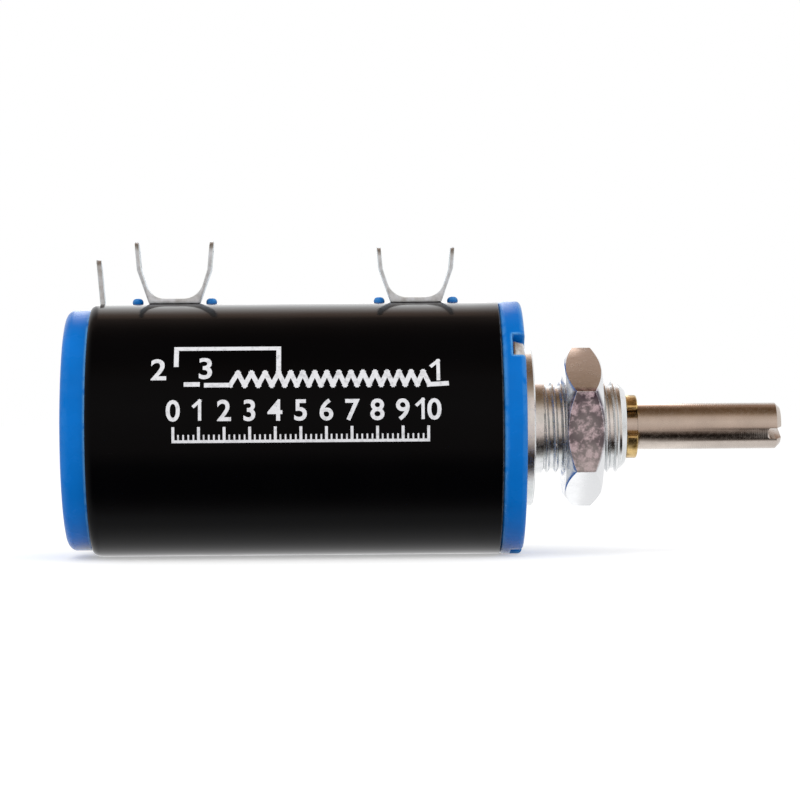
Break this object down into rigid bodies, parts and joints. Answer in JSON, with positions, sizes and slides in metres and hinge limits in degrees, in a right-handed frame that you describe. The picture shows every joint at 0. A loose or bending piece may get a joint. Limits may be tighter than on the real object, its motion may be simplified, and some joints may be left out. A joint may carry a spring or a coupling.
{
  "type": "multiturn potentiometer",
  "caption": "Cylindrical multiturn wirewound potentiometer with a threaded panel bushing, hex nut, slotted round shaft and solder lugs on its side.",
  "frame": {"origin": "on the shaft's axis, in the front face of the bushing's flange, which seats on the panel", "axes": "+X along the shaft, out through its slotted end; +Z towards the solder lugs of terminals 1 and 3"},
  "size_m": [0.062, 0.022, 0.0274],
  "materials": {
    "black_sleeve": "black moulded plastic, satin",
    "blue_moulding": "blue moulded plastic",
    "zinc_plate": "bright zinc plated steel",
    "shaft_steel": "turned, bright nickel",
    "ring_brass": "raw brass",
    "tinned_brass": "hot tinned",
    "element_wire": "fine resistance wire wound on a core",
    "rotor_plastic": "moulded phenolic",
    "spring_bronze": "phosphor bronze strip"
  },
  "bodies": {
    "housing": {"sleeve": "black_sleeve", "element_tube": "blue_moulding", "front_cap": "blue_moulding", "rear_cap": "blue_moulding", "bushing": "zinc_plate", "thrust_washer": "ring_brass", "resistance_element": "element_wire", "terminal_1": "tinned_brass", "terminal_2": "tinned_brass", "terminal_3": "tinned_brass", "terminal_pegs": "blue_moulding", "brush_spring": "spring_bronze"},
    "rotor": {"shaft": "shaft_steel", "retaining_ring": "ring_brass", "rotor_drum": "rotor_plastic", "guide_rail": "ring_brass", "collector_rail": "ring_brass", "slip_ring": "ring_brass"},
    "wiper": {"wiper_carriage": "rotor_plastic", "wiper_spring": "spring_bronze"},
    "nut": {"hex_nut": "zinc_plate"}
  },
  "joints": [
    {"name": "shaft_turn", "type": "hinge", "parent": "housing", "child": "rotor", "pos_m": [0, 0, 0], "axis": [1, 0, 0], "range_deg": [-1800, 1800]},
    {"name": "wiper_travel", "type": "slide", "parent": "rotor", "child": "wiper", "axis": [1, 0, 0], "range_m": [-0.0108, 0.0108]},
    {"name": "nut_travel", "type": "slide", "parent": "housing", "child": "nut", "axis": [1, 0, 0], "range_m": [-0.0027, 0.0235]}
  ],
  "couplings": [
    {"joint": "wiper_travel", "follows": "shaft_turn", "m_per_rad": 0.00033423}
  ]
}
